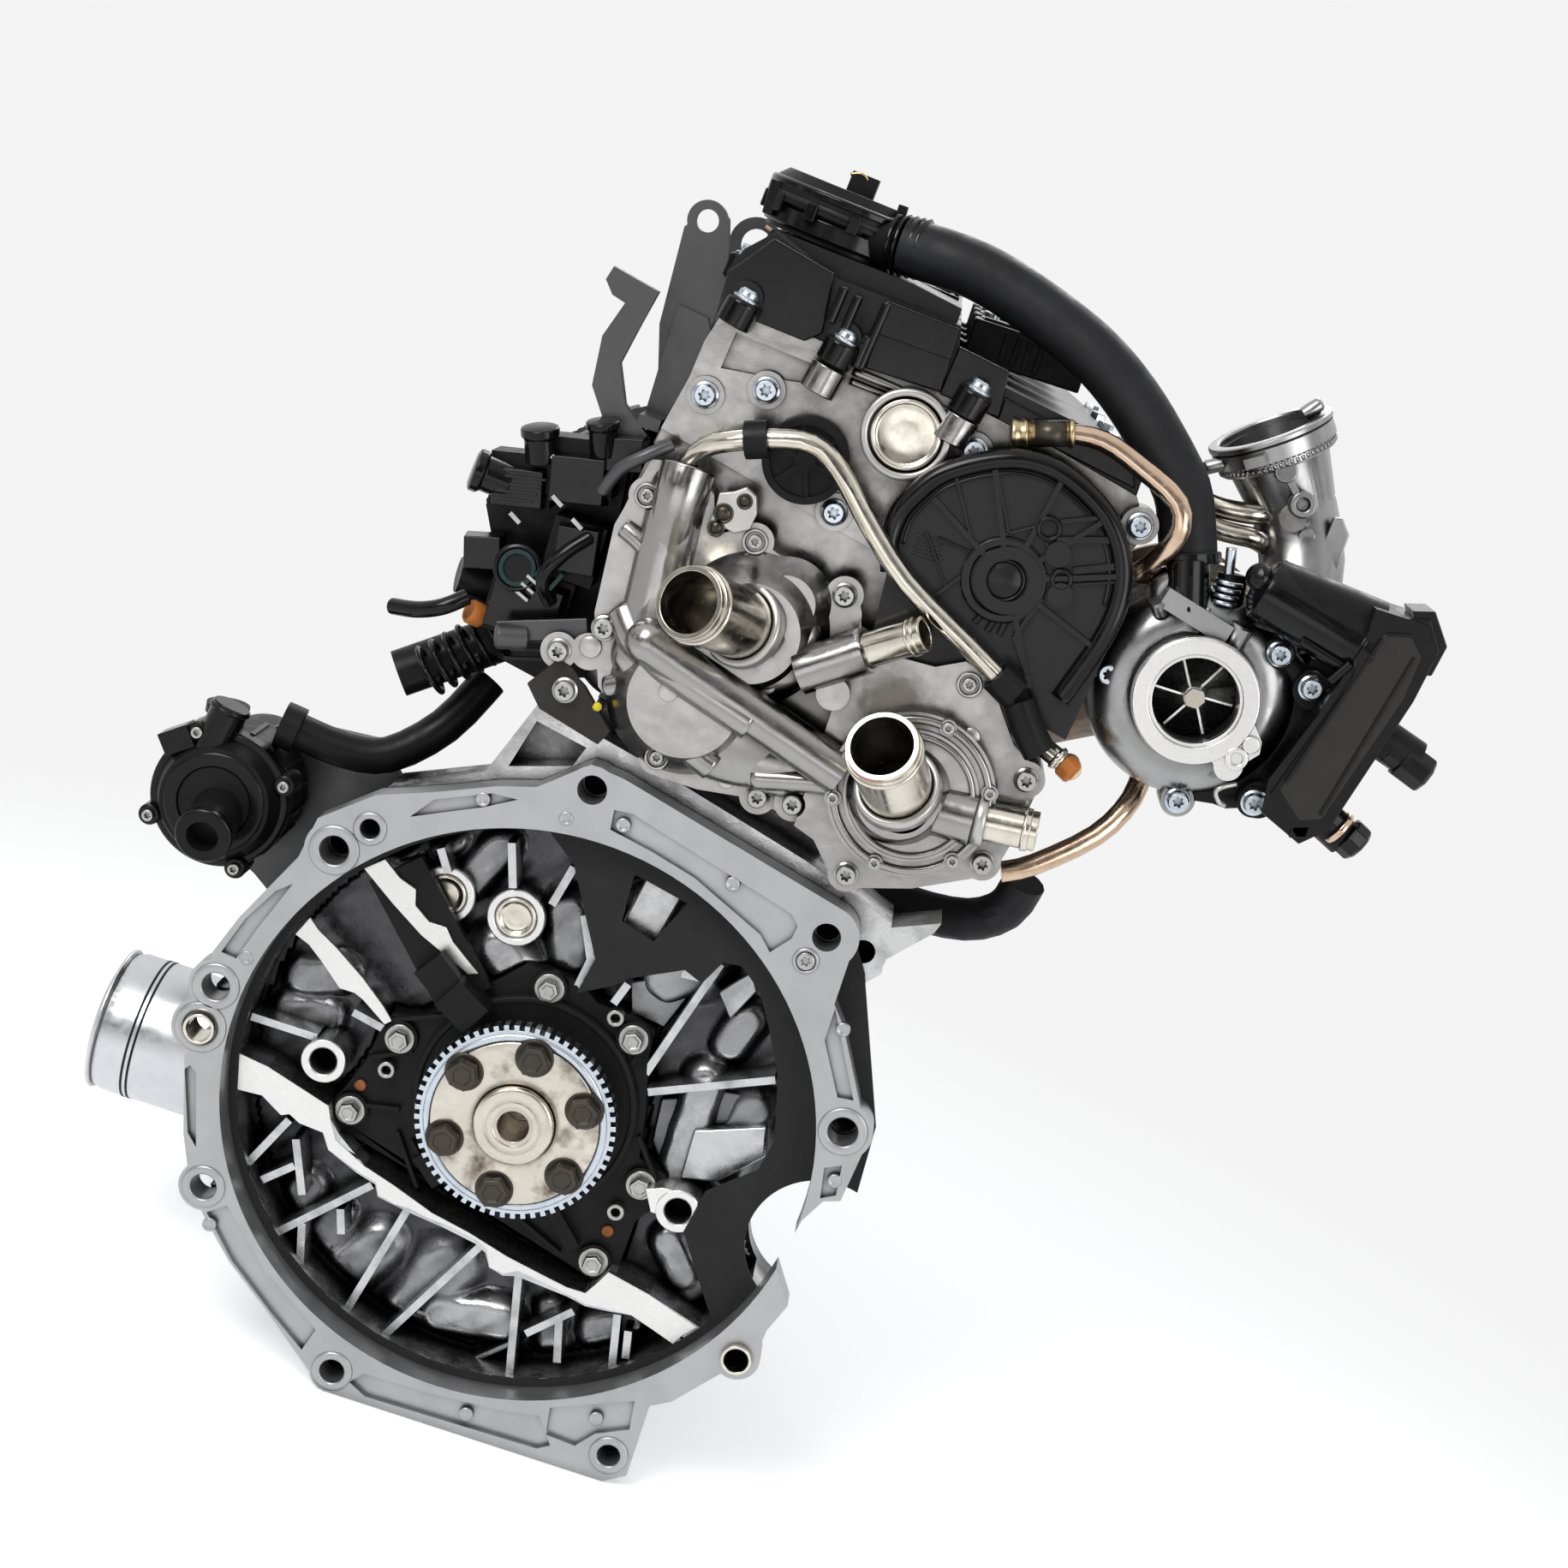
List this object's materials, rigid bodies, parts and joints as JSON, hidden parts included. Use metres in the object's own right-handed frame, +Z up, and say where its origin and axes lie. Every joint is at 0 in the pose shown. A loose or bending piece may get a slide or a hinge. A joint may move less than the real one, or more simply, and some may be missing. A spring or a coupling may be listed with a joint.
{
  "type": "car engine",
  "caption": "Transverse inline turbocharged petrol car engine without gearbox or flywheel, with crank train, cams, coolant module, pump and turbo rotor that turn.",
  "frame": {"origin": "crankshaft axis at the gearbox face of the flange ring", "axes": "+Y along the crankshaft, from the gearbox face to the timing belt; +X towards the exhaust and turbocharger; +Z up, with the cylinders leaning 12 degrees towards +X"},
  "size_m": [0.5909, 0.5423, 0.6622],
  "materials": {
    "cast_aluminium": "as-cast, satin, slightly mottled",
    "dark_casting": "as-cast, oily dark grey with bright machined edges",
    "machined_aluminium": "milled, bright satin",
    "cast_iron": "heat-tinted brown casting",
    "machined_steel": "ground, lightly oiled",
    "bolt_steel": "phosphated and zinc-plated fasteners",
    "zinc_sheet": "bluish zinc plate",
    "bracket_sheet": "grey coated sheet steel",
    "nickel_tube": "champagne nickel plate",
    "copper_tube": "dull coppery plate",
    "black_sheet": "matte black coated sheet",
    "black_moulding": "matte moulded polymer",
    "gloss_moulding": "glossy moulded polymer",
    "hose_rubber": "matte rubber",
    "belt_rubber": "toothed belt compound",
    "filter_can": "silver lacquered can",
    "gasket_layer": "coated steel layers"
  },
  "bodies": {
    "root": {"aux_coolant_pump": "black_moulding", "bearing_housing": "cast_iron", "bell_back_plate": "black_sheet", "boost_actuator": "black_moulding", "breather_hose": "hose_rubber", "cam_cover": "black_moulding", "cam_housing": "cast_aluminium", "cam_seal_cap": "black_moulding", "charge_elbow": "cast_aluminium", "compressor_housing": "cast_aluminium", "compressor_inlet_ring": "machined_aluminium", "coolant_module": "cast_aluminium", "coolant_necks": "nickel_tube", "coolant_pipe": "nickel_tube", "core_plugs": "nickel_tube", "crank_sensor": "black_moulding", "cylinder_block": "dark_casting", "cylinder_head": "cast_aluminium", "dowel_sleeves": "nickel_tube", "gearbox_flange_ring": "machined_aluminium", "head_gasket": "gasket_layer", "housing_bolts": "bolt_steel", "ignition_coils": "black_moulding", "intake_manifold": "black_moulding", "lifting_brackets": "bracket_sheet", "lower_hose": "hose_rubber", "lower_oil_pan": "black_sheet", "main_bearing_caps": "cast_iron", "module_bolts": "bolt_steel", "oil_filter": "filter_can", "oil_separator": "black_moulding", "pipe_clamps": "black_moulding", "pistons": "machined_aluminium", "plastic_pipe": "black_moulding", "pump_belt_cover": "gloss_moulding", "pump_cover": "cast_aluminium", "pump_drive_belt": "belt_rubber", "rear_seal_flange": "black_moulding", "seal_flange_bolts": "bolt_steel", "timing_belt": "belt_rubber", "timing_cover": "black_moulding", "turbine_housing": "cast_iron", "turbo_coolant_pipes": "copper_tube", "upper_oil_pan": "dark_casting", "valves": "machined_steel", "wrist_pins": "machined_steel"},
    "crank": {"crankshaft": "machined_steel", "sensor_wheel": "zinc_sheet", "crank_bolts": "bolt_steel", "crank_pulley": "black_sheet"},
    "intake_cam": {"intake_camshaft": "machined_steel", "intake_sprocket": "cast_iron"},
    "exhaust_cam": {"exhaust_camshaft": "machined_steel", "exhaust_sprocket": "cast_iron", "pump_drive_pulley": "machined_steel"},
    "pump": {"pump_rotor": "gloss_moulding"},
    "tensioner": {"tensioner_roller": "machined_steel"},
    "turbo_rotor": {"compressor_wheel": "machined_aluminium", "turbine_rotor": "machined_steel"},
    "wastegate": {"wastegate_flap": "machined_steel"}
  },
  "joints": [
    {"name": "crank_spin", "type": "hinge", "parent": "root", "child": "crank", "pos_m": [0, 0, 0], "axis": [0, 1, 0], "continuous": true},
    {"name": "intake_cam_spin", "type": "hinge", "parent": "root", "child": "intake_cam", "pos_m": [0.03783, 0, 0.35591], "axis": [0, 1, 0], "continuous": true},
    {"name": "exhaust_cam_spin", "type": "hinge", "parent": "root", "child": "exhaust_cam", "pos_m": [0.14542, 0, 0.33304], "axis": [0, 1, 0], "continuous": true},
    {"name": "pump_spin", "type": "hinge", "parent": "root", "child": "pump", "pos_m": [0.134, 0, 0.224], "axis": [0, 1, 0], "continuous": true},
    {"name": "tensioner_spin", "type": "hinge", "parent": "root", "child": "tensioner", "pos_m": [-0.04421, 0.418, 0.17051], "axis": [0, 1, 0], "continuous": true},
    {"name": "turbo_spin", "type": "hinge", "parent": "root", "child": "turbo_rotor", "pos_m": [0.248, 0, 0.306], "axis": [0, 1, 0], "continuous": true},
    {"name": "wastegate_hinge", "type": "hinge", "parent": "root", "child": "wastegate", "pos_m": [0.282, 0.156, 0.33], "axis": [0, 0, -1], "range_deg": [0, 35]}
  ],
  "couplings": [
    {"joint": "intake_cam_spin", "follows": "crank_spin", "ratio": 0.5},
    {"joint": "exhaust_cam_spin", "follows": "crank_spin", "ratio": 0.5},
    {"joint": "pump_spin", "follows": "crank_spin", "ratio": 0.83333},
    {"joint": "tensioner_spin", "follows": "crank_spin", "ratio": -0.84615}
  ]
}
